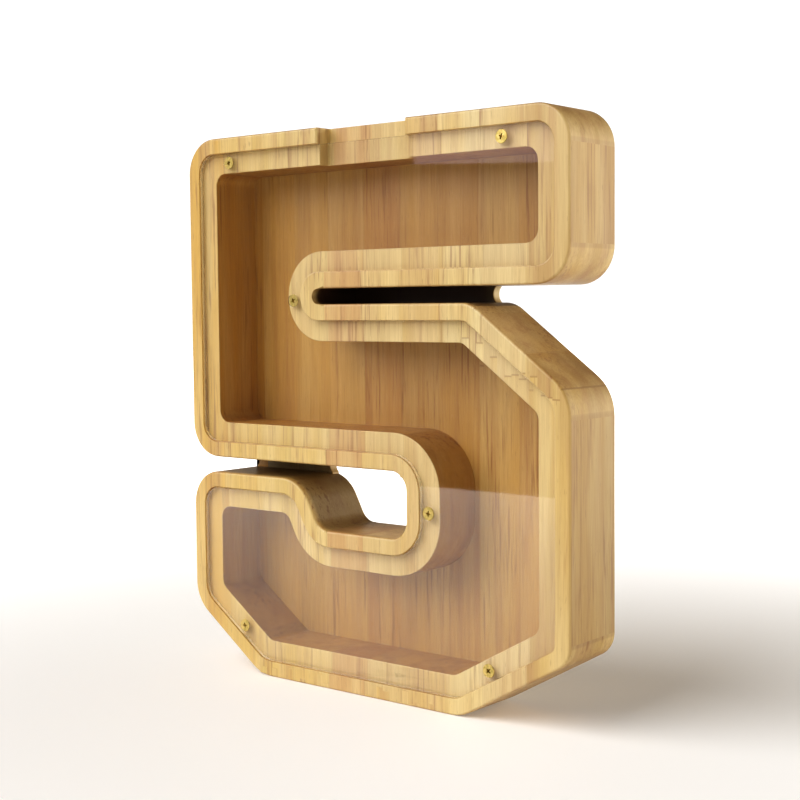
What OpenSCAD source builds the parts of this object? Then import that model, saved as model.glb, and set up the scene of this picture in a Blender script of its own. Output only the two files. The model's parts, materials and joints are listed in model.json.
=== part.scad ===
// Figure-five money box: a thick edge-glued wooden panel, milled out from the front and closed by a
// clear window that six small wood screws hold in a rebate. Coins go in through a notch in the top wall.
// Frame: X to the right, Z up, the front face towards -Y, the origin under the middle of the flat base.
// Distances named *_x are measured from the figure's left side, and those named *_z from its base.

/* [Panel] */
// Height of the figure
figure_h = 220; // [210:1:235]
// Width of the figure
figure_w = 188; // [180:1:200]
// Thickness of the panel, front to back
panel_t = 30; // [26:0.5:40]
// Skin of wood left behind the cavity and behind the two narrow cuts
skin_t = 4.5; // [3:0.5:6]

/* [Figure] */
// Underside of the top arm
arm_z = 157.8; // [155:0.1:160]
// Height of the narrow cut under the top arm
upper_cut_h = 6.1; // [5:0.1:7]
// Closed end of the upper cut
cut_end_x = 69; // [64:0.5:75]
// Shoulder, where the slope begins
shoulder_x = 145.3; // [140:0.1:150]
// Height at which the shoulder's slope meets the right side
shoulder_z = 120; // [115:0.5:125]
// Underside of the upper bowl
bowl_z = 88.6; // [86:0.1:90]
// Height of the narrow cut between the upper bowl and the tail
lower_cut_h = 6.3; // [5:0.1:7]
// Right end of the lower opening
opening_x = 115.3; // [112:0.1:118]
// Floor of the lower opening
opening_z = 62.9; // [60:0.1:66]
// Top of the tail's sloping end
tail_end_x = 60.9; // [58:0.1:64]
// Foot of the tail's sloping end
tail_foot_x = 71.1; // [68:0.1:74]
// Height of both base chamfers
chamfer_z = 27; // [24:1:30]
// Left end of the flat base
base_left_x = 37.6; // [32:0.1:42]
// Right end of the flat base
base_right_x = 140.2; // [134:0.1:146]

/* [Corners] */
// Radius of the figure's square outer corners
corner_r = 14; // [10:0.5:16]
// Radius of its blunt corners: the tail's tip and the left chamfer
blunt_r = 16; // [10:0.5:18]
// Radius where the base and the shoulder's slope end
soft_r = 18; // [10:0.5:20]
// Radius where the right chamfer begins
hip_r = 10; // [8:0.5:16]
// Radius of the shoulder
shoulder_r = 12; // [8:0.5:14]
// Radius of the lower opening's inner corners
opening_r = 7.5; // [5:0.5:8]
// Smallest radius that the cavity cutter leaves
cutter_r = 5; // [3:0.5:6]

/* [Window seat] */
// Width of the rim in front of the rebate
rim_w = 6.3; // [5:0.1:7]
// Width of the rim and the ledge together, which is the wall of the cavity
wall_w = 14.5; // [13.5:0.1:15]
// Depth of the rebate below the front face
rebate_d = 3.4; // [3:0.1:4]
// Thickness of the clear window
window_t = 3; // [2.5:0.1:3]
// Gap all round between the window and the rim
window_gap = 0.3; // [0.1:0.1:0.5]

/* [Coin notch] */
// Left end of the coin notch
notch_left_x = 72.4; // [66:0.1:78]
// Right end of the coin notch
notch_right_x = 116.2; // [110:0.1:122]
// Depth of the coin notch from the front face
notch_d = 8; // [7.8:0.1:12]

/* [Screws] */
// Diameter of a screw's countersunk head
head_d = 5.2; // [4:0.1:6]
// Diameter of a screw's shank
shank_d = 2.6; // [2:0.1:3]
// Length of a screw
screw_l = 12; // [8:1:14]
// Radial clearance between a screw and its holes
screw_gap = 0.06; // [0.02:0.01:0.1]

/* [Hidden] */
front_y = -panel_t / 2;
back_y = panel_t / 2;
ledge_y = front_y + rebate_d;
window_y = ledge_y - window_t;
cavity_y = back_y - skin_t;
cut_z = arm_z - upper_cut_h;
tail_z = bowl_z - lower_cut_h;
stave_count = 10;
stave_w = figure_w / stave_count;
past = 5;                    // how far a cutting shape runs past the wood
arc_step = 6;                // degrees between points on a rounded corner

// The skin bridges each narrow cut from here to here.
upper_bridge = [cut_end_x - 1, shoulder_x - 6];
lower_bridge = [12, tail_end_x - 4.9];

// Height at which an opening cuts the stave from x0 to x1 in two, or 0 where it stays whole.
function cut_in_two(x0, x1) =
    x0 > lower_bridge[1] && x1 < opening_x ? bowl_z - lower_cut_h / 2
    : x0 > upper_bridge[1] ? arm_z - upper_cut_h / 2
    : 0;

// Every block of wood, from the left: [name, stave number, lowest z, highest z].
BLOCKS = [
    for (i = [1:stave_count])
        let (z = cut_in_two((i - 1) * stave_w, i * stave_w))
        each z == 0
            ? [[str("stave_", i), i, 0, figure_h]]
            : [[str("stave_", i, "_lower"), i, 0, z], [str("stave_", i, "_upper"), i, z, figure_h]]
];

// Corners of the figure, clockwise from the top left: [x, z, radius].
figure = [
    [0, figure_h, corner_r],
    [figure_w, figure_h, corner_r],
    [figure_w, arm_z, corner_r],
    [cut_end_x, arm_z, upper_cut_h / 2],
    [cut_end_x, cut_z, upper_cut_h / 2],
    [shoulder_x, cut_z, shoulder_r],
    [figure_w, shoulder_z, soft_r],
    [figure_w, chamfer_z, hip_r],
    [base_right_x, 0, soft_r],
    [base_left_x, 0, soft_r],
    [0, chamfer_z, blunt_r],
    [0, tail_z, corner_r],
    [tail_end_x, tail_z, blunt_r],
    [tail_foot_x, opening_z, opening_r],
    [opening_x, opening_z, opening_r],
    [opening_x, bowl_z, opening_r],
    [0, bowl_z, corner_r]
];

// Every screw: [name, which side of the figure it sits beside, how far along that side].
// A side is numbered by the corner that it starts from, and the screw is in the middle of the ledge.
SCREWS = [
    ["screw_top_left", 0, 0.125],
    ["screw_top_right", 0, 0.848],
    ["screw_cut_end", 3, 0.75],
    ["screw_opening", 14, 0.43],
    ["screw_base_right", 7, 0.63],
    ["screw_base_left", 9, 0.4]
];

// A step from one corner towards another, of unit length.
function unit(v) = v / norm(v);

// Point i of a closed list, counted past either end.
function at(list, i) = list[(i + len(list)) % len(list)];

// The corner as a plain point.
function xy(corner) = [corner[0], corner[1]];

// Positive at a corner that bulges out of a clockwise outline, negative at one that cuts in.
function bulge(a, b, c) = (b[1] - a[1]) * (c[0] - b[0]) - (b[0] - a[0]) * (c[1] - b[1]);

// The right-hand normal of a step: it points into a clockwise outline.
function inward(e) = [e[1], -e[0]];

// The same outline moved inwards by d. Outer corners tighten no further than r_min.
function inset(list, d, r_min) = [
    for (i = [0:len(list) - 1])
        let (a = xy(at(list, i - 1)), b = xy(list[i]), c = xy(at(list, i + 1)),
             n1 = inward(unit(b - a)), n2 = inward(unit(c - b)),
             p = b + d * (n1 + n2) / (1 + n1 * n2),
             r = bulge(a, b, c) > 0 ? max(list[i][2] - d, r_min) : list[i][2] + d)
        [p[0], p[1], r]
];

// Points of the arc that rounds the corner b, between its neighbours a and c.
function corner_arc(a, b, c, r) =
    let (u = unit(a - b), v = unit(c - b),
         half = acos(u * v) / 2,
         middle = b + unit(u + v) * r / sin(half),
         from = b + u * r / tan(half) - middle,
         to = b + v * r / tan(half) - middle,
         start = atan2(from[1], from[0]),
         turn = (atan2(to[1], to[0]) - start + 540) % 360 - 180,
         steps = max(2, ceil(abs(turn) / arc_step)))
    [for (k = [0:steps]) middle + r * [cos(start + turn * k / steps), sin(start + turn * k / steps)]];

// The outline as points, with every corner rounded by its own radius.
function rounded(list) = [
    for (i = [0:len(list) - 1])
        for (p = corner_arc(xy(at(list, i - 1)), xy(list[i]), xy(at(list, i + 1)), list[i][2])) p
];

// Where a screw stands, as [x, z].
function screw_at(s) =
    let (a = xy(figure[s[1]]), b = xy(figure[s[1] + 1]))
    a + (b - a) * s[2] + inward(unit(b - a)) * (rim_w + wall_w) / 2;

// A flat shape drawn on the front face, given its depth from y0 back to y1.
module through(y0, y1) {
    translate([-figure_w / 2, y1, 0])
        rotate([90, 0, 0])
            linear_extrude(y1 - y0)
                children();
}

// Places something at a screw's centre on the front face of the window.
module at_screw(s) {
    p = screw_at(s);
    translate([p[0] - figure_w / 2, window_y, p[1]])
        rotate([-90, 0, 0])
            children();
}

// A bridge across a narrow cut whose floor is at z0, with the hollow ends that a round cutter leaves.
module bridge(ends, z0, h) {
    lap = 1.5;
    end_r = h / 2 + 1;
    reach = sqrt(end_r * end_r - h * h / 4);
    difference() {
        translate([ends[0], z0 - lap])
            square([ends[1] - ends[0], h + 2 * lap]);
        for (x = [ends[0] - reach, ends[1] + reach])
            translate([x, z0 + h / 2])
                circle(r = end_r, $fn = 48);
    }
}

// The whole milled panel, before it is divided at its glue lines.
module milled_panel() {
    difference() {
        union() {
            through(front_y, back_y)
                polygon(rounded(figure));
            through(cavity_y, back_y) {
                bridge(upper_bridge, cut_z, upper_cut_h);
                bridge(lower_bridge, tail_z, lower_cut_h);
            }
        }
        through(front_y - past, ledge_y)
            polygon(rounded(inset(figure, rim_w, 1.5)));
        through(front_y - past, cavity_y)
            polygon(rounded(inset(figure, wall_w, cutter_r)));
        through(front_y - past, front_y + notch_d)
            translate([notch_left_x, figure_h - wall_w - past])
                square([notch_right_x - notch_left_x, wall_w + 2 * past]);
        for (s = SCREWS)
            at_screw(s)
                cylinder(h = screw_l + 1, d = shank_d + 2 * screw_gap, $fn = 32);
    }
}

// One block of a stave: what the milling leaves of it between the heights z0 and z1.
module stave(i, z0, z1) {
    tone = i % 2 == 0 ? [0.86, 0.70, 0.46] : [0.90, 0.76, 0.54];
    color(tone)
        intersection() {
            milled_panel();
            translate([-figure_w / 2 + (i - 1) * stave_w, front_y - past, z0])
                cube([stave_w, panel_t + 2 * past, z1 - z0]);
        }
}

// A countersunk head with its flat side at z = 0, made larger all round by grow.
module head_shape(grow) {
    cylinder(h = (head_d - shank_d) / 2, d1 = head_d + 2 * grow, d2 = shank_d + 2 * grow, $fn = 48);
}

// The clear window, with a countersunk hole for each screw.
module window() {
    color([0.80, 0.90, 0.92, 0.35])
        difference() {
            through(window_y, ledge_y)
                polygon(rounded(inset(figure, rim_w + window_gap, 1.2)));
            for (s = SCREWS)
                at_screw(s) {
                    head_shape(screw_gap);
                    translate([0, 0, -past])
                        cylinder(h = window_t + 2 * past, d = shank_d + 2 * screw_gap, $fn = 32);
                }
        }
}

// One wood screw: a countersunk head with a cross recess, a shank and a point.
module screw(s) {
    point_h = 2.5;
    tip_d = 0.2;
    recess_l = head_d * 0.55;
    recess_w = 0.7;
    recess_d = 0.9;
    color("gold")
        at_screw(s)
            difference() {
                union() {
                    head_shape(0);
                    cylinder(h = screw_l - point_h, d = shank_d, $fn = 32);
                    translate([0, 0, screw_l - point_h])
                        cylinder(h = point_h, d1 = shank_d, d2 = tip_d, $fn = 32);
                }
                for (turn = [45, 135])
                    rotate([0, 0, turn])
                        translate([-recess_l / 2, -recess_w / 2, -past])
                            cube([recess_l, recess_w, past + recess_d]);
            }
}

for (b = BLOCKS) stave(b[1], b[2], b[3]);
window();
for (s = SCREWS) screw(s);
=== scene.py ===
# %% [markdown]
# # A money box in the shape of a figure five
# The real box starts as a board glued up from upright staves of rubberwood. A router cuts the figure out
# of it, mills a hollow from the front and leaves a ledge, on which a clear acrylic window is screwed down.
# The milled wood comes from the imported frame, piece by piece. Here each piece gets softened edges and a
# finish, and the window and the screws are built again in more detail than the frame needs.

# %% Open the frame
import json
import math

import bmesh
import bpy
from mathutils import Matrix, Vector


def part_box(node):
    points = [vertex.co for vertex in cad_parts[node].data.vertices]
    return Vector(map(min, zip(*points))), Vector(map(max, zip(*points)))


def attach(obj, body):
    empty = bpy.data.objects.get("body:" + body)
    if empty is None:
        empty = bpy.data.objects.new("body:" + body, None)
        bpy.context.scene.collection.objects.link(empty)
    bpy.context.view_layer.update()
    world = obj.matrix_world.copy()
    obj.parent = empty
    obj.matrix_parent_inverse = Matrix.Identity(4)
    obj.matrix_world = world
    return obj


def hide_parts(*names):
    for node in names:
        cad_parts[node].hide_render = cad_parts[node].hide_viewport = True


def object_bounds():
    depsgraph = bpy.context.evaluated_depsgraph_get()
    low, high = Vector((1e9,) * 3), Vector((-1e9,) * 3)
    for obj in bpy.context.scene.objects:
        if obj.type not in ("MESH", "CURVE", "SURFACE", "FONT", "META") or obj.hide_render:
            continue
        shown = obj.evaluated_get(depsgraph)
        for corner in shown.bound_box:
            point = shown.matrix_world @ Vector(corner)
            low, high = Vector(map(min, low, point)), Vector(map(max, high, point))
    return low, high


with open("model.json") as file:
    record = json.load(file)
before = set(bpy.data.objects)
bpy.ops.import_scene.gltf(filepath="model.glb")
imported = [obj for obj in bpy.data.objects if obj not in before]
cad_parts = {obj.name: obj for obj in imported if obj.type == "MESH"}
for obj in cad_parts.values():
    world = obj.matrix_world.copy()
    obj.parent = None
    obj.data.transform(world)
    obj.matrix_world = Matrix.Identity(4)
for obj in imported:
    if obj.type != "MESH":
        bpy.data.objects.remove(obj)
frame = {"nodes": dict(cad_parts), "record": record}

cad_box = [list(corner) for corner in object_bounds()]
MM = 0.001
PANEL = frame["record"]["behaviour"]["bodies"]["panel"]
SCREWS = [body for body in frame["record"]["behaviour"]["bodies"] if body.startswith("screw")]
low, high = (Vector(corner) for corner in cad_box)
print("whole object, mm:", [round(1000 * side) for side in high - low])

# %% [markdown]
# ## Colours and nodes
# Paint charts and colour pickers give sRGB values, and a shader wants linear ones. One function turns
# each hex colour round, so that a colour can be written the way a maker would write it. A second function
# adds one node with its settings and links, which keeps every material below short enough to read. Many
# nodes only move a value from one range to another, so the names of those five inputs are kept in a list.

# %% Two helpers for materials
def linear(hex_colour):
    """An sRGB colour such as "#ddbc81" as the linear RGBA that a shader takes."""
    parts = [int(hex_colour[k:k + 2], 16) / 255 for k in (1, 3, 5)]
    return [c / 12.92 if c <= 0.04045 else ((c + 0.055) / 1.055) ** 2.4 for c in parts] + [1.0]


def add(tree, kind, inputs=None, **settings):
    """Adds a node of this kind to the tree, then sets each input, or links a node or a socket to it."""
    made = tree.nodes.new(kind)
    for name, value in settings.items():
        setattr(made, name, value)
    for key, value in (inputs or {}).items():
        if isinstance(value, bpy.types.Node):
            value = next(socket for socket in value.outputs if socket.enabled)
        if isinstance(value, bpy.types.NodeSocket):
            tree.links.new(value, made.inputs[key])
        else:
            made.inputs[key].default_value = value
    return made


RANGE = ("Value", "From Min", "From Max", "To Min", "To Max")


def fresh_material(name):
    """A material with an empty tree, and that tree."""
    made = bpy.data.materials.new(name)
    made.use_nodes = True
    made.node_tree.nodes.clear()
    return made, made.node_tree


# %% [markdown]
# ## Camera
# The box is looked at from its right, a little above its middle, through a short telephoto lens. A long
# lens further away would flatten the depth of the hollow, and a wide one would bend the strokes apart.

# %% Stand the camera
camera_at = Vector((361.8, -434.3, 151.1)) * MM
yaw, pitch, roll = (math.radians(turn) for turn in (39.26, -3.74, 0.53))
camera = bpy.data.objects.new("camera", bpy.data.cameras.new("camera"))
camera.data.sensor_width = 36
camera.data.lens = 65.4
camera.data.clip_start = 10 * MM
upright = Matrix.Rotation(yaw, 4, "Z") @ Matrix.Rotation(math.radians(90) + pitch, 4, "X")
camera.matrix_world = Matrix.Translation(camera_at) @ upright @ Matrix.Rotation(-roll, 4, "Z")
bpy.context.scene.collection.objects.link(camera)
bpy.context.scene.camera = camera
print("camera stands", round((camera_at - Vector((0, 0, high.z / 2))).length / MM), "mm from the box")

# %% [markdown]
# ## Table
# A white laminate table top carries the box. Its front edge lies about half a metre in front, so the clear
# window mirrors the table only in its lower part, as a pale haze, and stays deep and clear above. The
# table glows a little, and more so further from the box, so that it fades into a white background.

# %% Lay the table
def table_laminate():
    """White laminate, lit from below ever more strongly away from the box, so that it fades to white."""
    made, tree = fresh_material("white_table_laminate")
    place = add(tree, "ShaderNodeTexCoord").outputs["Object"]
    far = add(tree, "ShaderNodeVectorMath", {0: place}, operation="LENGTH")
    glow = add(tree, "ShaderNodeMapRange", dict(zip(RANGE, (far, 0.12, 0.7, 0.1, 0.75))),
               interpolation_type="SMOOTHSTEP")
    shader = add(tree, "ShaderNodeBsdfPrincipled",
                 {"Base Color": linear("#f4f3f1"), "Roughness": 0.6, "Emission Color": linear("#ffffff"),
                  "Emission Strength": glow})
    add(tree, "ShaderNodeOutputMaterial", {"Surface": shader})
    return made


TABLE_FRONT = -0.54
TABLE_SIDE = 3.0
TABLE_BACK = 6.0
mesh = bpy.data.meshes.new("table_top")
corners = [(-TABLE_SIDE, TABLE_FRONT), (TABLE_SIDE, TABLE_FRONT), (TABLE_SIDE, TABLE_BACK),
           (-TABLE_SIDE, TABLE_BACK)]
mesh.from_pydata([(x, y, low.z) for x, y in corners], [], [(0, 1, 2, 3)])
table = bpy.data.objects.new("table_top", mesh)
table.data.materials.append(table_laminate())
bpy.context.scene.collection.objects.link(table)
print("table top, m:", 2 * TABLE_SIDE, "by", TABLE_BACK - TABLE_FRONT)

# %% [markdown]
# ## Light
# One very large soft light stands to the front left, above the box: it lights the rims and leaves the left
# wall of the hollow in warm shade. It is placed so that the window does not mirror it, because a mirrored
# lamp would lie over the hollow as a haze. A small, dim lamp adds a faint sheen to the top of the window.
# The room's own light is warm and low, brighter on the right and behind than in front, so that what the
# window mirrors stays dark. The camera alone sees a plain white background.

# %% Set the lamps
def soft_lamp(name, at, size, power, colour="#ffffff", aim=(0, 0, 0.11)):
    """A square area lamp at a point, turned to face another."""
    lamp = bpy.data.objects.new(name, bpy.data.lights.new(name, "AREA"))
    lamp.data.shape = "RECTANGLE"
    lamp.data.size, lamp.data.size_y = size
    lamp.data.energy = power
    lamp.data.color = linear(colour)[:3]
    lamp.location = at
    lamp.rotation_euler = (Vector(aim) - Vector(at)).to_track_quat("-Z", "Y").to_euler()
    lamp.visible_camera = False
    bpy.context.scene.collection.objects.link(lamp)
    return lamp


sun = bpy.data.objects.new("key_sun", bpy.data.lights.new("key_sun", "SUN"))
sun.data.energy = 2.95
sun.data.angle = math.radians(60)
sun.rotation_euler = Vector((-0.67, -1.1, 1.03)).to_track_quat("Z", "Y").to_euler()
bpy.context.scene.collection.objects.link(sun)
soft_lamp("strip_lamp", (-0.36, -0.6, 0.335), (0.13, 0.13), 0.09, "#d4c4cf", aim=(0.06, 0, 0.205))
print("lamps:", [light.name for light in bpy.data.lights])

# %% Fill the room with light
# How the light changes along each axis: from where to where, and how bright at either end.
WALLS = [("X", -0.3, 0.3, 0.3, 1.0), ("Y", -0.3, 0.3, 0.25, 1.0), ("Z", 0.6, 0.1, 0.0, 1.0)]
DIMMED = 0.075
world = bpy.data.worlds.new("soft_room")
world.use_nodes = True
room = world.node_tree
room.nodes.clear()
way = add(room, "ShaderNodeTexCoord").outputs["Generated"]
axes = add(room, "ShaderNodeSeparateXYZ", {0: way})
walls = []
for axis, *ends in WALLS:
    walls.append(add(room, "ShaderNodeMapRange", dict(zip(RANGE, (axes.outputs[axis], *ends))),
                     interpolation_type="SMOOTHSTEP"))
share = add(room, "ShaderNodeMath", {0: walls[0], 1: walls[1]}, operation="MULTIPLY")
share = add(room, "ShaderNodeMath", {0: share, 1: DIMMED}, operation="SUBTRACT")
share = add(room, "ShaderNodeMath", {0: share, 1: walls[2]}, operation="MULTIPLY", use_clamp=True)
tone = add(room, "ShaderNodeMix", {0: share, 6: linear("#2a2725"), 7: linear("#fff1dc")}, data_type="RGBA")
seen = add(room, "ShaderNodeLightPath").outputs["Is Camera Ray"]
inside = add(room, "ShaderNodeBackground", {"Color": tone, "Strength": 3.0})
behind = add(room, "ShaderNodeBackground", {"Color": linear("#ffffff"), "Strength": 1.0})
both = add(room, "ShaderNodeMixShader", {0: seen, 1: inside, 2: behind})
add(room, "ShaderNodeOutputWorld", {"Surface": both})
bpy.context.scene.world = world
bpy.context.scene.view_settings.view_transform = "Standard"
bpy.context.scene.view_settings.look = "Medium High Contrast"
print("room nodes:", len(room.nodes))

# %% [markdown]
# ## The wood
# The panel is rubberwood, sawn into staves, glued edge to edge and lacquered to a satin. Each stave has a
# tone of its own, broad soft bands, thin dark streaks and open pores that show as short dashes along the
# grain. A picture of wood would show the same grain on every face. Here the grain is a pattern in the
# solid block, long along Z and short across it, so that it runs on round each milled edge, and on the
# end faces the dashes turn into dots, as they do in real wood. Sizes are real millimetres.

# %% The staves and their grain, in mm
STAVE_W = (high.x - low.x) / 10
STAVE_TONES = ["#cfa753", "#d0b26c", "#c8ae6a", "#cdb478", "#c29d67",
               "#cbb179", "#c6a86e", "#d4c18c", "#cab381", "#b59860"]
FIGURE_H = (high.z - low.z) / MM
front_y, back_y = low.y, high.y
# Height at which each stave is finger jointed, or 0 where it is one long block.
JOINTS_MM = [0, 0, 0, 0, 0, 0, 0, 133, 128, 122]
# Each layer of grain: its width and length, detail and roughness, the noise at which it starts and is
# full, and its strength at either end.
GRAIN = {
    "patches": (22, 90, 2.0, 0.5, 0.42, 0.66, 0.0, 0.55),
    "pale": (9, 120, 3.0, 0.5, 0.42, 0.68, 0.0, 0.5),
    "bands": (5.5, 120, 3.0, 0.6, 0.46, 0.70, 0.0, 0.45),
    "busy": (16, 70, 1.0, 0.5, 0.42, 0.64, 0.06, 0.7),
    "streaks": (1.5, 38, 3.0, 0.65, 0.50, 0.68, 0.0, 1.0),
    "fibre": (0.5, 16, 2.0, 0.6, 0.3, 0.7, 0.0, 0.24),
    "pores": (0.45, 4.0, 1.0, 0.5, 0.68, 0.78, 0.0, 0.32)}
print("staves:", len(STAVE_TONES), "each", round(STAVE_W / MM, 1), "mm wide")

# %% [markdown]
# Short blocks are joined end to end with square fingers of uneven length, and the tone changes across
# them. Each block has its own piece of the pattern: the point that the noise is read at is shifted by the
# block's number, as if it had been sawn from another part of the tree.

# %% Divide the board into blocks
FINGER_W = 3.1
FINGER_REACH = 13.0


def blocks(tree, place, x, z):
    """The shifted place, the stave's tone and how near a finger joint is, at each point of the board."""
    share = add(tree, "ShaderNodeMapRange", {"Value": x, "From Min": low.x / MM, "From Max": high.x / MM})
    number = add(tree, "ShaderNodeMath", {0: share, 1: 10.0}, operation="MULTIPLY")
    number = add(tree, "ShaderNodeMath", {0: number}, operation="FLOOR")
    steps = []
    heights = [[h / FIGURE_H] * 3 + [1] for h in JOINTS_MM]
    for values in (heights, [linear(tone) for tone in STAVE_TONES]):
        ramp = add(tree, "ShaderNodeValToRGB", {0: share})
        ramp.color_ramp.interpolation = "CONSTANT"
        stops = ramp.color_ramp.elements
        while len(stops) < len(values):
            stops.new(1.0)
        for k, value in enumerate(values):
            stops[k].position = k / len(values)
            stops[k].color = value
        steps.append(ramp)
    joint = add(tree, "ShaderNodeMath", {0: steps[0], 1: FIGURE_H}, operation="MULTIPLY")
    finger = add(tree, "ShaderNodeMath", {0: x, 1: 1 / FINGER_W}, operation="MULTIPLY")
    finger = add(tree, "ShaderNodeMath", {0: finger}, operation="FLOOR")
    finger = add(tree, "ShaderNodeTexWhiteNoise", {"W": finger}, noise_dimensions="1D")
    finger = add(tree, "ShaderNodeMath", {0: finger, 1: FINGER_REACH, 2: -FINGER_REACH / 2},
                 operation="MULTIPLY_ADD")
    over = add(tree, "ShaderNodeMath", {0: z, 1: joint}, operation="SUBTRACT")
    over = add(tree, "ShaderNodeMath", {0: over, 1: finger}, operation="SUBTRACT")
    upper = add(tree, "ShaderNodeMapRange", dict(zip(RANGE, (over, -0.2, 0.2, 0.0, 1.0))),
                interpolation_type="SMOOTHSTEP")
    near = add(tree, "ShaderNodeMath", {0: over}, operation="ABSOLUTE")
    near = add(tree, "ShaderNodeMapRange", dict(zip(RANGE, (near, 0.5, 0.1, 0.0, 0.4))),
               interpolation_type="SMOOTHSTEP")
    jointed = add(tree, "ShaderNodeMapRange", dict(zip(RANGE, (joint, 5.0, 6.0, 0.0, 1.0))),
                  interpolation_type="SMOOTHSTEP")
    near = add(tree, "ShaderNodeMath", {0: near, 1: jointed}, operation="MULTIPLY")
    block = add(tree, "ShaderNodeMath", {0: number, 1: 37.0, 2: upper}, operation="MULTIPLY_ADD")
    shift = add(tree, "ShaderNodeCombineXYZ", {0: block, 2: block})
    shift = add(tree, "ShaderNodeVectorMath", {0: shift, 1: (13.7, 0, 61.0)}, operation="MULTIPLY")
    inside = add(tree, "ShaderNodeVectorMath", {0: place, 1: shift}, operation="ADD")
    return inside, steps[1], near


# %% [markdown]
# The ledge is painted a little paler than the rest. The walls and back of the hollow are painted darker
# and warmer, as painted shade. End grain drinks the lacquer and goes darker. The narrow cuts' walls get a
# dark brown painted shade. Which face is which is written on each mesh later, when its shape is final.

# %% Where the colour differs, painted shade included
def finishes(tree, x, y):
    """How much each point is glue line, paler ledge, cavity in painted shade, end grain and cut wall in
    painted shade.
    """
    seam = add(tree, "ShaderNodeMath", {0: x, 1: 0.5 * STAVE_W / MM}, operation="PINGPONG")
    marks = [add(tree, "ShaderNodeAttribute", attribute_name=name).outputs["Fac"]
             for name in ("ledge", "hollow", "painted_shade_in_cuts")]
    ledge = add(tree, "ShaderNodeMath", {0: marks[0], 1: 0.08}, operation="MULTIPLY")
    facing = add(tree, "ShaderNodeTexCoord").outputs["Normal"]
    facing = add(tree, "ShaderNodeSeparateXYZ", {0: facing}).outputs["Z"]
    facing = add(tree, "ShaderNodeMath", {0: facing}, operation="ABSOLUTE")
    ranges = []
    for ends in ((seam, 0.16, 0.04, 0.0, 0.25), (facing, 0.35, 0.95, 0.0, 0.6),
                 (y, front_y / MM + 0.8, front_y / MM + 4.0, 0.0, 1.0)):
        ranges.append(add(tree, "ShaderNodeMapRange", dict(zip(RANGE, ends)),
                          interpolation_type="SMOOTHSTEP"))
    # The narrow cuts' painted shade fades out towards the front face.
    cut_shade = add(tree, "ShaderNodeMath", {0: marks[2], 1: ranges[2]}, operation="MULTIPLY")
    return ranges[0], ledge, marks[1], ranges[1], cut_shade


# %% Rubberwood: one solid pattern for all the staves
def rubberwood():
    made, tree = fresh_material("satin_lacquered_rubberwood")
    metres = add(tree, "ShaderNodeTexCoord").outputs["Object"]
    place = add(tree, "ShaderNodeVectorMath", {0: metres, 1: (1000, 1000, 1000)}, operation="MULTIPLY")
    axes = add(tree, "ShaderNodeSeparateXYZ", {0: place})
    inside, colour, joint = blocks(tree, place, axes.outputs["X"], axes.outputs["Z"])
    noise, layer = {}, {}
    for name, (width, length, detail, roughness, *ends) in GRAIN.items():
        sized = add(tree, "ShaderNodeVectorMath", {0: inside, 1: (1 / width, 1 / width, 1 / length)},
                    operation="MULTIPLY")
        noise[name] = add(tree, "ShaderNodeTexNoise", {"Vector": sized, "Scale": 1.0, "Detail": detail,
                                                       "Roughness": roughness})
        layer[name] = add(tree, "ShaderNodeMapRange", dict(zip(RANGE, (noise[name], *ends))),
                          interpolation_type="SMOOTHSTEP")
    streaks = add(tree, "ShaderNodeMath", {0: layer["streaks"], 1: layer["busy"]}, operation="MULTIPLY")
    seam, ledge, hollow, end_grain, cut_shade = finishes(tree, axes.outputs["X"], axes.outputs["Y"])
    for factor, paint, how in (
            (layer["patches"], "#cfae62", "MIX"), (layer["pale"], "#dcc68e", "MIX"),
            (layer["bands"], "#ad8457", "MIX"), (streaks, "#8a5c38", "MIX"),
            (layer["fibre"], "#9c7646", "MIX"), (layer["pores"], "#6b4626", "MIX"),
            (joint, "#7a4d22", "MIX"), (seam, "#7d5527", "MIX"), (ledge, "#dccfae", "MIX"),
            # The warm multiply on the cavity's faces is painted shade; the end grain's is its own darker
            # colour.
            (hollow, "#e6cfa8", "MULTIPLY"), (end_grain, "#d9be96", "MULTIPLY"),
            # The dark brown on the narrow cuts' walls is painted shade.
            (cut_shade, "#35190a", "MIX")):
        colour = add(tree, "ShaderNodeMix", {0: factor, 6: colour, 7: linear(paint)}, data_type="RGBA",
                     blend_type=how)
    relief = add(tree, "ShaderNodeMath", {0: layer["pores"], 1: -2.5, 2: noise["fibre"]},
                 operation="MULTIPLY_ADD")
    bump = add(tree, "ShaderNodeBump", {"Strength": 0.25, "Distance": 0.08 * MM, "Height": relief})
    rough = add(tree, "ShaderNodeMapRange", dict(zip(RANGE, (noise["fibre"], 0.2, 0.8, 0.40, 0.52))),
                interpolation_type="SMOOTHSTEP")
    shader = add(tree, "ShaderNodeBsdfPrincipled",
                 {"Base Color": colour, "Roughness": rough, "IOR": 1.5, "Coat Weight": 0.12,
                  "Coat Roughness": 0.25, "Normal": bump})
    add(tree, "ShaderNodeOutputMaterial", {"Surface": shader})
    return made


wood = rubberwood()
print("wood nodes:", len(wood.node_tree.nodes))

# %% [markdown]
# ## The staves
# A router leaves sharp edges, and the maker sands the outer ones round by hand to about a millimetre. The
# inner edges, at the rebate and the hollow, are only broken. The glue lines are not edges at all: the
# staves were milled together, so those stay dead flat and meet. A Bevel modifier does this when each edge
# carries its own weight. The frame's mesh is copied, its loose triangles are merged and its flat faces
# are joined first, because a bevel follows only real edges.

# %% Helpers that clean and shade a mesh
def settle(piece):
    """Applies a piece's modifiers to its mesh."""
    bpy.context.view_layer.update()
    result = bpy.data.meshes.new_from_object(piece.evaluated_get(bpy.context.evaluated_depsgraph_get()))
    piece.modifiers.clear()
    piece.data = result
    return result


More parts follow.
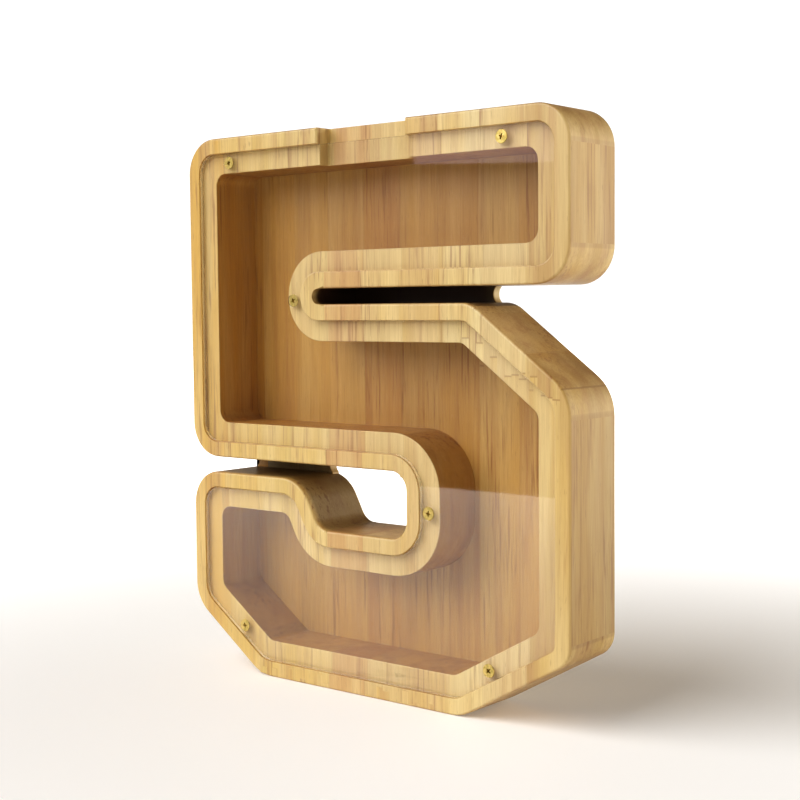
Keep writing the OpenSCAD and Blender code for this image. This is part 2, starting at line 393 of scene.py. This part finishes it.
def merged(mesh, flat):
    """Joins a mesh's loose corners, and its faces where they meet within this many degrees of flat."""
    work = bmesh.new()
    work.from_mesh(mesh)
    bmesh.ops.remove_doubles(work, verts=work.verts, dist=0.002 * MM)
    bmesh.ops.dissolve_degenerate(work, edges=work.edges, dist=0.002 * MM)
    if flat:
        bmesh.ops.dissolve_limit(work, angle_limit=math.radians(flat), verts=work.verts, edges=work.edges)
    work.to_mesh(mesh)
    work.free()


def shade(mesh, sharpest):
    """Smooth faces, and a crease wherever two of them meet at more than this many degrees."""
    work = bmesh.new()
    work.from_mesh(mesh)
    for face in work.faces:
        face.smooth = True
    for edge in work.edges:
        edge.smooth = len(edge.link_faces) == 2 and edge.calc_face_angle() < math.radians(sharpest)
    work.to_mesh(mesh)
    work.free()


# %% Tell the edges apart
SOFT_OUTER = 1.0 * MM
SOFT_INNER = 0.3 * MM
NEAR = 0.01 * MM
LEAST_ANGLE = math.radians(25)
LEAST_LENGTH = 0.4 * MM
HAIRLINE_REACH = 5 * MM
# The skin behind the upper cut's closed end is open by a hair, too narrow for an eased edge.
HAIRLINE = Vector((-24.8, 13.0, 154.75)) * MM
ledge_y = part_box("window")[1].y
seams = [low.x + k * STAVE_W for k in range(1, 10)]


def on_seam(edge):
    """An edge that lies in a glue line."""
    return any(all(abs(v.co.x - x) < NEAR for v in edge.verts) for x in seams)


def is_outer(edge):
    """An edge of the outline, at the front or at the back, or of the notch."""
    deepest = max(v.co.y for face in edge.link_faces for v in face.verts)
    at_front = all(abs(v.co.y - front_y) < NEAR for v in edge.verts)
    at_back = all(abs(v.co.y - back_y) < NEAR for v in edge.verts)
    return at_back or (at_front and deepest > ledge_y + 0.1 * MM)


# %% [markdown]
# The wood's colour depends on which face it is on, and a shader can't tell a ledge from a rim. So each
# face carries a mark that the shader reads. The marks are set after the edges are eased, because the bevel
# makes new faces.

# %% Mark the ledge, and the faces that get painted shade
# Each narrow cut that gets painted shade: its left and right ends, its bottom and top in mm, how dark its
# painted shade is, and where along it the painted shade begins to fade.
SHADED_CUTS = [(-27, 76, 150.5, 159, 0.95, 40), (-93, 0, 60, 90, 0.55, -20)]
deep_y = ledge_y + 8 * MM
skin_y = back_y - 3 * MM
SKIN_STRIP = 7


def mark_surfaces(mesh):
    """Notes on each face whether it is on the ledge, and how much painted shade it takes in the cavity or
    in a narrow cut.
    """
    for name, domain in (("hollow", "FACE"), ("ledge", "FACE"), ("painted_shade_in_cuts", "CORNER")):
        mesh.attributes.new(name, "FLOAT", domain)
    hollow, ledge, painted_shade_in_cuts = (mesh.attributes[name].data for name in ("hollow", "ledge", "painted_shade_in_cuts"))
    for k, polygon in enumerate(mesh.polygons):
        depths = [mesh.vertices[v].co.y for v in polygon.vertices]
        heights = [mesh.vertices[v].co.z / MM for v in polygon.vertices]
        spot = polygon.center / MM
        milled = ledge_y - 0.5 * MM < min(depths) and deep_y < max(depths) < skin_y
        skin = polygon.normal.y < -0.9 and max(heights) - min(heights) < SKIN_STRIP
        runs_back = min(depths) < ledge_y - 1 * MM and polygon.normal.x > -0.3
        cut_shade = False
        # A wall face of a narrow cut gets painted shade, fading out along the cut towards its right end.
        for left, right, bottom, top, strength, fade in SHADED_CUTS:
            inside = left < spot.x < right and bottom < spot.z < top
            if inside and max(depths) > deep_y and (skin or runs_back):
                cut_shade = True
                for corner in polygon.loop_indices:
                    x = mesh.vertices[mesh.loops[corner].vertex_index].co.x / MM
                    painted_shade_in_cuts[corner].value = strength * min(1, max(0, (right - x) / (right - fade)))
        ledge[k].value = float(max(abs(d - ledge_y) for d in depths) < 0.05 * MM)
        # The milled cavity's faces get painted shade, unless a narrow cut's painted shade is already on
        # them.
        hollow[k].value = float(milled and not cut_shade)


# %% Soften each block of wood
def softened(node):
    """A merged copy of a block of wood, with its real edges eased."""
    mesh = frame["nodes"][node].data.copy()
    mesh.name = "wood_" + node
    merged(mesh, 0.3)
    work = bmesh.new()
    work.from_mesh(mesh)
    weight = work.edges.layers.float.new("bevel_weight_edge")
    eased = 0
    for edge in work.edges:
        if len(edge.link_faces) != 2 or on_seam(edge) or not edge.is_convex:
            continue
        if edge.calc_face_angle() < LEAST_ANGLE or edge.calc_length() < LEAST_LENGTH:
            continue
        if all((v.co - HAIRLINE).length < HAIRLINE_REACH for v in edge.verts):
            continue
        edge[weight] = 1.0 if is_outer(edge) else SOFT_INNER / SOFT_OUTER
        eased += 1
    work.to_mesh(mesh)
    work.free()
    if "custom_normal" in mesh.attributes:
        mesh.attributes.remove(mesh.attributes["custom_normal"])
    mesh.materials.clear()
    mesh.materials.append(wood)
    piece = bpy.data.objects.new("wood_" + node, mesh)
    bpy.context.scene.collection.objects.link(piece)
    bevel = piece.modifiers.new("eased edges", "BEVEL")
    bevel.limit_method = "WEIGHT"
    bevel.width = SOFT_OUTER
    bevel.segments = 3
    bevel.use_clamp_overlap = False
    mark_surfaces(settle(piece))
    shade(piece.data, 40)
    flatten = piece.modifiers.new("flat faces stay flat", "WEIGHTED_NORMAL")
    flatten.keep_sharp = True
    flatten.weight = 100
    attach(piece, "panel")
    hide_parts(node)
    return eased


for node in PANEL:
    print(node, "eased edges:", softened(node))

# %% [markdown]
# ## Growing shapes with Geometry Nodes
# The window and the screws follow rules, so each is grown by a node tree with its sizes as named inputs.
# A tree can be opened in Blender and its sliders moved, which is how a maker would try a thicker sheet
# or a longer screw. When the shape is right, the result is kept as a plain mesh and the modifier goes.

# %% Helpers for node-grown pieces
SOCKETS = {float: "NodeSocketFloat", int: "NodeSocketInt", tuple: "NodeSocketVector"}


def new_tree(name, sizes):
    """An empty node group with these named inputs, its input node's outputs and its tree."""
    tree = bpy.data.node_groups.new(name, "GeometryNodeTree")
    tree.interface.new_socket("Geometry", in_out="INPUT", socket_type="NodeSocketGeometry")
    tree.interface.new_socket("Geometry", in_out="OUTPUT", socket_type="NodeSocketGeometry")
    for label, value in sizes.items():
        tree.interface.new_socket(label, in_out="INPUT", socket_type=SOCKETS[type(value)])
    return tree, tree.nodes.new("NodeGroupInput").outputs


def close_tree(tree, geometry, material):
    """Ends a tree the way the export wants it: real geometry with its material."""
    real = add(tree, "GeometryNodeRealizeInstances", {0: geometry})
    painted = add(tree, "GeometryNodeSetMaterial", {"Geometry": real.outputs[0], "Material": material})
    add(tree, "NodeGroupOutput", {0: painted.outputs[0]})


def grow(name, tree, sizes, base=None):
    """Runs a tree on a base mesh with these sizes, and keeps the result as a plain mesh."""
    piece = bpy.data.objects.new(name, base or bpy.data.meshes.new(name))
    bpy.context.scene.collection.objects.link(piece)
    grown = piece.modifiers.new("grown", "NODES")
    grown.node_group = tree
    for item in tree.interface.items_tree:
        if item.in_out == "INPUT" and item.name in sizes:
            grown[item.identifier] = sizes[item.name]
    result = settle(piece)
    result.name = name
    result.materials.pop(index=0)
    merged(result, 0.1)
    shade(result, 35)
    return piece


# %% [markdown]
# ## The window
# The window is 3 mm clear acrylic, cut by a laser or a router to the figure's outline and 6.6 mm smaller
# all round. Its shape is a rule: the figure's corners, moved inwards, and each one rounded by its own
# radius. So the tree takes the corners as a loop of points, fillets each by its radius, fills the loop,
# gives it thickness and sinks a countersunk hole at every screw.

# %% The figure's corners, moved inwards
W, H = (high.x - low.x) / MM, (high.z - low.z) / MM
ARM, CUT, BOWL, TAIL, CHAMFER = 157.8, 151.7, 88.6, 82.3, 27.0
CUT_END, OPENING, FLOOR = 69.0, 115.3, 62.9
FIGURE = [(0, H, 14), (W, H, 14), (W, ARM, 14), (CUT_END, ARM, 3.05), (CUT_END, CUT, 3.05),
          (145.3, CUT, 12), (W, 120, 18), (W, CHAMFER, 10), (140.2, 0, 18), (37.6, 0, 18),
          (0, CHAMFER, 16), (0, TAIL, 14), (60.9, TAIL, 16), (71.1, FLOOR, 7.5),
          (OPENING, FLOOR, 7.5), (OPENING, BOWL, 7.5), (0, BOWL, 14)]


def inset(corners, distance, least):
    """The outline moved inwards. Corners that bulge out tighten, and those that cut in open up."""
    moved = []
    for k, (x, z, radius) in enumerate(corners):
        here = Vector((x, z))
        before = (here - Vector(corners[k - 1][:2])).normalized()
        after = (Vector(corners[(k + 1) % len(corners)][:2]) - here).normalized()
        normals = Vector((before.y, -before.x)), Vector((after.y, -after.x))
        place = here + distance * (normals[0] + normals[1]) / (1 + normals[0].dot(normals[1]))
        bulges = before.y * after.x - before.x * after.y > 0
        moved.append((place.x, place.y, max(radius - distance, least) if bulges else radius + distance))
    return moved


def corner_loop(name, corners, holes):
    """The corners as a closed loop of points, with the holes' centres as loose points beside it."""
    spots = [(x, z) for x, z, r in corners] + holes
    ring = [(k, (k + 1) % len(corners)) for k in range(len(corners))]
    mesh = bpy.data.meshes.new(name)
    mesh.from_pydata([(low.x + x * MM, z * MM, 0) for x, z in spots], ring, [])
    radius = mesh.attributes.new("corner_radius", "FLOAT", "POINT")
    radius.data.foreach_set("value", [r * MM for x, z, r in corners] + [0.0] * len(holes))
    hole = mesh.attributes.new("hole", "BOOLEAN", "POINT")
    hole.data.foreach_set("value", [False] * len(corners) + [True] * len(holes))
    return mesh


def middle(node):
    """The middle of a CAD node's box."""
    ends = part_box(node)
    return (ends[0] + ends[1]) / 2


RIM, GAP = 6.3, 0.3
holes = [((middle(s).x - low.x) / MM, middle(s).z / MM) for s in SCREWS]
pane_corners = inset(FIGURE, RIM + GAP, 1.2)
print("pane corners:", len(pane_corners), "holes:", len(holes))

# %% [markdown]
# Acrylic is as clear as glass and bends light about as much, and its sawn edges are flame polished. A
# lamp's light has to reach the wood behind it, so for shadows and for light bounced off the wood the
# pane lets everything through straight. What the camera looks at still sees the true thick sheet.

# %% Acrylic sheet, polished
def acrylic():
    made, tree = fresh_material("clear_cast_acrylic")
    sheet = add(tree, "ShaderNodeBsdfPrincipled",
                {"Base Color": linear("#fbfbfb"), "Roughness": 0.02, "IOR": 1.49,
                 "Transmission Weight": 1.0})
    open_way = add(tree, "ShaderNodeBsdfTransparent")
    path = add(tree, "ShaderNodeLightPath")
    bounced = add(tree, "ShaderNodeMixShader", {0: path.outputs["Is Diffuse Ray"], 1: sheet, 2: open_way})
    lit = add(tree, "ShaderNodeMixShader", {0: path.outputs["Is Shadow Ray"], 1: bounced, 2: open_way})
    add(tree, "ShaderNodeOutputMaterial", {"Surface": lit})
    return made


# %% A tree that makes a filleted, drilled sheet
ROUND = 40
PANE_SIZES = {"Thickness": 3.0 * MM, "Head Radius": 2.66 * MM, "Shank Radius": 1.36 * MM, "Arc Points": 10}


def pane_tree(material):
    tree, given = new_tree("filleted_sheet", PANE_SIZES)
    is_hole = add(tree, "GeometryNodeInputNamedAttribute", {"Name": "hole"}, data_type="BOOLEAN")
    split = add(tree, "GeometryNodeSeparateGeometry",
                {"Geometry": given["Geometry"], "Selection": is_hole.outputs["Attribute"]}, domain="POINT")
    radius = add(tree, "GeometryNodeInputNamedAttribute", {"Name": "corner_radius"}, data_type="FLOAT")
    loop = add(tree, "GeometryNodeMeshToCurve", {0: split.outputs["Inverted"]})
    outline = add(tree, "GeometryNodeFilletCurve",
                  {"Curve": loop.outputs[0], "Count": given["Arc Points"],
                   "Radius": radius.outputs["Attribute"]}, mode="POLY").outputs[0]
    lift = add(tree, "ShaderNodeCombineXYZ", {"Z": given["Thickness"]}).outputs[0]
    blank = add(tree, "GeometryNodeFillCurve", {0: outline}, mode="NGONS").outputs[0]
    block = add(tree, "GeometryNodeExtrudeMesh",
                {"Mesh": blank, "Offset": lift, "Offset Scale": 1.0, "Individual": False})
    edge = add(tree, "GeometryNodeSeparateGeometry",
               {"Geometry": block.outputs["Mesh"], "Selection": block.outputs["Side"]}, domain="FACE")
    parts = [edge.outputs["Selection"]]

    # Both faces are filled round their holes: as wide as the head in front, as the shank at the back.
    spots = split.outputs["Selection"]
    for size in ("Head Radius", "Shank Radius"):
        circle = add(tree, "GeometryNodeCurvePrimitiveCircle", {"Resolution": ROUND, "Radius": given[size]})
        circles = add(tree, "GeometryNodeInstanceOnPoints", {"Points": spots, "Instance": circle})
        circles = add(tree, "GeometryNodeRealizeInstances", {0: circles}).outputs[0]
        both = add(tree, "GeometryNodeJoinGeometry")
        for curve in (outline, circles):
            tree.links.new(curve, both.inputs[0])
        parts.append(add(tree, "GeometryNodeFillCurve", {0: both}, mode="TRIANGLES").outputs[0])
    parts[1] = add(tree, "GeometryNodeTransform", {0: parts[1], "Translation": lift}).outputs[0]
    parts[2] = add(tree, "GeometryNodeFlipFaces", {0: parts[2]}).outputs[0]

    # Each hole's wall: a plain drilled part, then the countersink.
    sunk = add(tree, "ShaderNodeMath", {0: given["Head Radius"], 1: given["Shank Radius"]},
               operation="SUBTRACT").outputs[0]
    plain = add(tree, "ShaderNodeMath", {0: given["Thickness"], 1: sunk}, operation="SUBTRACT").outputs[0]
    drilled = add(tree, "GeometryNodeMeshCone",
                  {"Vertices": ROUND, "Radius Top": given["Shank Radius"],
                   "Radius Bottom": given["Shank Radius"], "Depth": plain},
                  fill_type="NONE").outputs["Mesh"]
    sink = add(tree, "GeometryNodeMeshCone",
               {"Vertices": ROUND, "Radius Top": given["Head Radius"],
                "Radius Bottom": given["Shank Radius"], "Depth": sunk},
               fill_type="NONE").outputs["Mesh"]
    sink_at = add(tree, "ShaderNodeCombineXYZ", {"Z": plain}).outputs[0]
    sink = add(tree, "GeometryNodeTransform", {0: sink, "Translation": sink_at}).outputs[0]
    for wall in (drilled, sink):
        wall = add(tree, "GeometryNodeFlipFaces", {0: wall}).outputs[0]
        stood = add(tree, "GeometryNodeInstanceOnPoints", {"Points": spots, "Instance": wall})
        parts.append(add(tree, "GeometryNodeRealizeInstances", {0: stood.outputs[0]}).outputs[0])
    join = add(tree, "GeometryNodeJoinGeometry")
    for part in parts:
        tree.links.new(part, join.inputs[0])
    sheet = add(tree, "GeometryNodeMergeByDistance", {0: join.outputs[0], "Distance": 0.005 * MM})
    upright = add(tree, "GeometryNodeTransform",
                  {0: sheet.outputs[0], "Translation": (0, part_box("window")[1].y, 0),
                   "Rotation": (math.radians(90), 0, 0)})
    close_tree(tree, upright.outputs[0], material)
    return tree


pane_loop = corner_loop("pane_loop", pane_corners, holes)
pane = grow("acrylic_window", pane_tree(acrylic()), PANE_SIZES, pane_loop)
print("window:", len(pane.data.polygons), "faces, mm:", [round(side / MM, 2) for side in pane.dimensions])

# %% Polish its edges
polish = pane.modifiers.new("flame polished edges", "BEVEL")
polish.limit_method = "ANGLE"
polish.angle_limit = math.radians(40)
polish.width = 0.25 * MM
polish.segments = 2
for polygon in settle(pane).polygons:
    polygon.use_smooth = abs(polygon.normal.y) < 0.999
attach(pane, "window")
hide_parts("window")

# %% [markdown]
# ## The screws
# Six small countersunk wood screws with a cross recess hold the window. A real one is rolled from wire:
# the head is headed and punched, the thread is rolled on and the whole is plated with yellow zinc. The
# tree starts from a fine upright cylinder and sets each point's distance from the axis by a rule: a
# profile curve gives the head, the shank and the point, and a wave that climbs one pitch each turn adds
# the thread. Two crossed wedges cut the recess.

# %% Yellow zinc plate
def yellow_zinc():
    made, tree = fresh_material("yellow_zinc_plated_steel")
    place = add(tree, "ShaderNodeTexCoord").outputs["Object"]
    cloud = add(tree, "ShaderNodeTexNoise", {"Vector": place, "Scale": 1400.0, "Detail": 2.0})
    mixed, shine = (add(tree, "ShaderNodeMapRange", dict(zip(RANGE, (cloud, *ends))),
                        interpolation_type="SMOOTHSTEP")
                    for ends in ((0.35, 0.65, 0.0, 1.0), (0.3, 0.7, 0.32, 0.45)))
    colour = add(tree, "ShaderNodeMix", {0: mixed, 6: linear("#dcc27a"), 7: linear("#b8a35c")},
                 data_type="RGBA")
    shader = add(tree, "ShaderNodeBsdfPrincipled",
                 {"Base Color": colour, "Metallic": 1.0, "Roughness": shine})
    add(tree, "ShaderNodeOutputMaterial", {"Surface": shader})
    return made


# %% A tree that rolls one screw
SCREW_SIZES = {"Place": (0.0, 0.0, 0.0), "Turn": 0.0, "Head Radius": 2.6 * MM, "Shank Radius": 1.3 * MM,
               "Length": 12.0 * MM, "Pitch": 1.1 * MM, "Thread Depth": 0.3 * MM, "Recess Length": 2.9 * MM,
               "Recess Width": 0.75 * MM, "Recess Depth": 1.1 * MM}
# Distance from the axis along a screw, as shares of its length and of its head's radius.
PROFILE = [(0.0, 0.93), (0.018, 1.0), (0.03, 1.0), (0.125, 0.5), (0.22, 0.5), (0.25, 0.39), (0.8, 0.39),
           (0.99, 0.06), (1.0, 0.02)]


# Sums worked out at every point of the blank: a name, what is done, and with which numbers.
DEPTH_SUMS = [("half", "MULTIPLY", "Length", 0.5), ("depth", "SUBTRACT", "half", "z"),
              ("share", "DIVIDE", "depth", "Length")]
THREAD_SUMS = [("core", "MULTIPLY", "profile", "Head Radius"), ("angle", "ARCTAN2", "y", "x"),
               ("turns", "DIVIDE", "depth", "Pitch"), ("round", "DIVIDE", "angle", math.tau),
               ("climb", "ADD", "turns", "round"), ("wave", "PINGPONG", "climb", 0.5),
               ("wave", "MULTIPLY", 2.0, "wave"), ("crest", "SUBTRACT", 1.0, "wave"),
               ("crest", "POWER", "crest", 2.0), ("crest", "MULTIPLY", "crest", "Thread Depth"),
               ("threaded", "MULTIPLY", "starts", "ends"), ("crest", "MULTIPLY", "crest", "threaded"),
               ("reach", "ADD", "core", "crest"), ("new x", "MULTIPLY", "x", "reach"),
               ("new y", "MULTIPLY", "y", "reach"), ("new z", "SUBTRACT", 0.0, "depth"),
               ("wedge", "MULTIPLY", "Recess Depth", 2.0), ("lower", "LESS_THAN", "wedge z", 0.0),
               ("lower", "MULTIPLY", "lower", 0.55), ("narrow", "SUBTRACT", 1.0, "lower")]


def screw_tree(material):
    tree, given = new_tree("countersunk_wood_screw", SCREW_SIZES)
    blank = add(tree, "GeometryNodeMeshCylinder",
                {"Vertices": 36, "Side Segments": 130, "Radius": 1.0, "Depth": given["Length"]},
                fill_type="NGON")
    spot = add(tree, "GeometryNodeInputPosition")
    axes = add(tree, "ShaderNodeSeparateXYZ", {0: spot})
    known = {name: given[name] for name in SCREW_SIZES}
    known.update(x=axes.outputs["X"], y=axes.outputs["Y"], z=axes.outputs["Z"])
    for name, operation, *terms in DEPTH_SUMS:
        inputs = {k: known.get(term, term) for k, term in enumerate(terms)}
        known[name] = add(tree, "ShaderNodeMath", inputs, operation=operation)
    profile = add(tree, "ShaderNodeFloatCurve", {"Value": known["share"]})
    points = profile.mapping.curves[0].points
    points[0].location, points[1].location = PROFILE[0], PROFILE[-1]
    for place in PROFILE[1:-1]:
        points.new(*place)
    for point in points:
        point.handle_type = "VECTOR"
    profile.mapping.update()
    known["profile"] = profile
    for name, start, end in (("starts", 0.22, 0.28), ("ends", 0.97, 0.85)):
        known[name] = add(tree, "ShaderNodeMapRange", dict(zip(RANGE, (known["share"], start, end))))
    known["wedge z"] = axes.outputs["Z"]
    for name, operation, *terms in THREAD_SUMS:
        inputs = {k: known.get(term, term) for k, term in enumerate(terms)}
        known[name] = add(tree, "ShaderNodeMath", inputs, operation=operation)
    sized = add(tree, "ShaderNodeCombineXYZ",
                {"X": known["new x"], "Y": known["new y"], "Z": known["new z"]})
    rolled = add(tree, "GeometryNodeSetPosition", {"Geometry": blank.outputs["Mesh"], "Position": sized})

    # The recess: two crossed wedges, narrower at the bottom.
    wedge_size = add(tree, "ShaderNodeCombineXYZ",
                     {"X": given["Recess Length"], "Y": given["Recess Width"], "Z": known["wedge"]})
    wedge = add(tree, "GeometryNodeMeshCube", {"Size": wedge_size}).outputs["Mesh"]
    pinch = add(tree, "ShaderNodeCombineXYZ", {"X": known["narrow"], "Y": known["narrow"], "Z": 1.0})
    pinched = add(tree, "ShaderNodeVectorMath", {0: spot, 1: pinch}, operation="MULTIPLY")
    wedge = add(tree, "GeometryNodeSetPosition", {"Geometry": wedge, "Position": pinched})
    for quarter, share in ((0.0, 1.0), (math.radians(90), 0.97)):
        turned = add(tree, "GeometryNodeTransform",
                     {0: wedge, "Rotation": (0, 0, quarter), "Scale": (1, 1, share)})
        rolled = add(tree, "GeometryNodeMeshBoolean", {"Mesh 1": rolled, "Mesh 2": turned},
                     operation="DIFFERENCE")
    spin = add(tree, "ShaderNodeCombineXYZ", {"Z": given["Turn"]})
    turned = add(tree, "GeometryNodeTransform", {0: rolled, "Rotation": spin})
    driven = add(tree, "GeometryNodeTransform",
                 {0: turned, "Translation": given["Place"], "Rotation": (math.radians(90), 0, 0)})
    close_tree(tree, driven, material)
    return tree


# %% Drive the screws
rolling = screw_tree(yellow_zinc())
for k, name in enumerate(SCREWS):
    centre = middle(name)
    sizes = dict(SCREW_SIZES, Place=(centre.x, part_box(name)[0].y, centre.z), Turn=0.35 + 0.9 * k)
    screw = grow("zinc_" + name, rolling, sizes)
    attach(screw, name)
    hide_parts(name)
    print(screw.name, len(screw.data.polygons), "faces")

# %% Finish
bpy.context.view_layer.update()
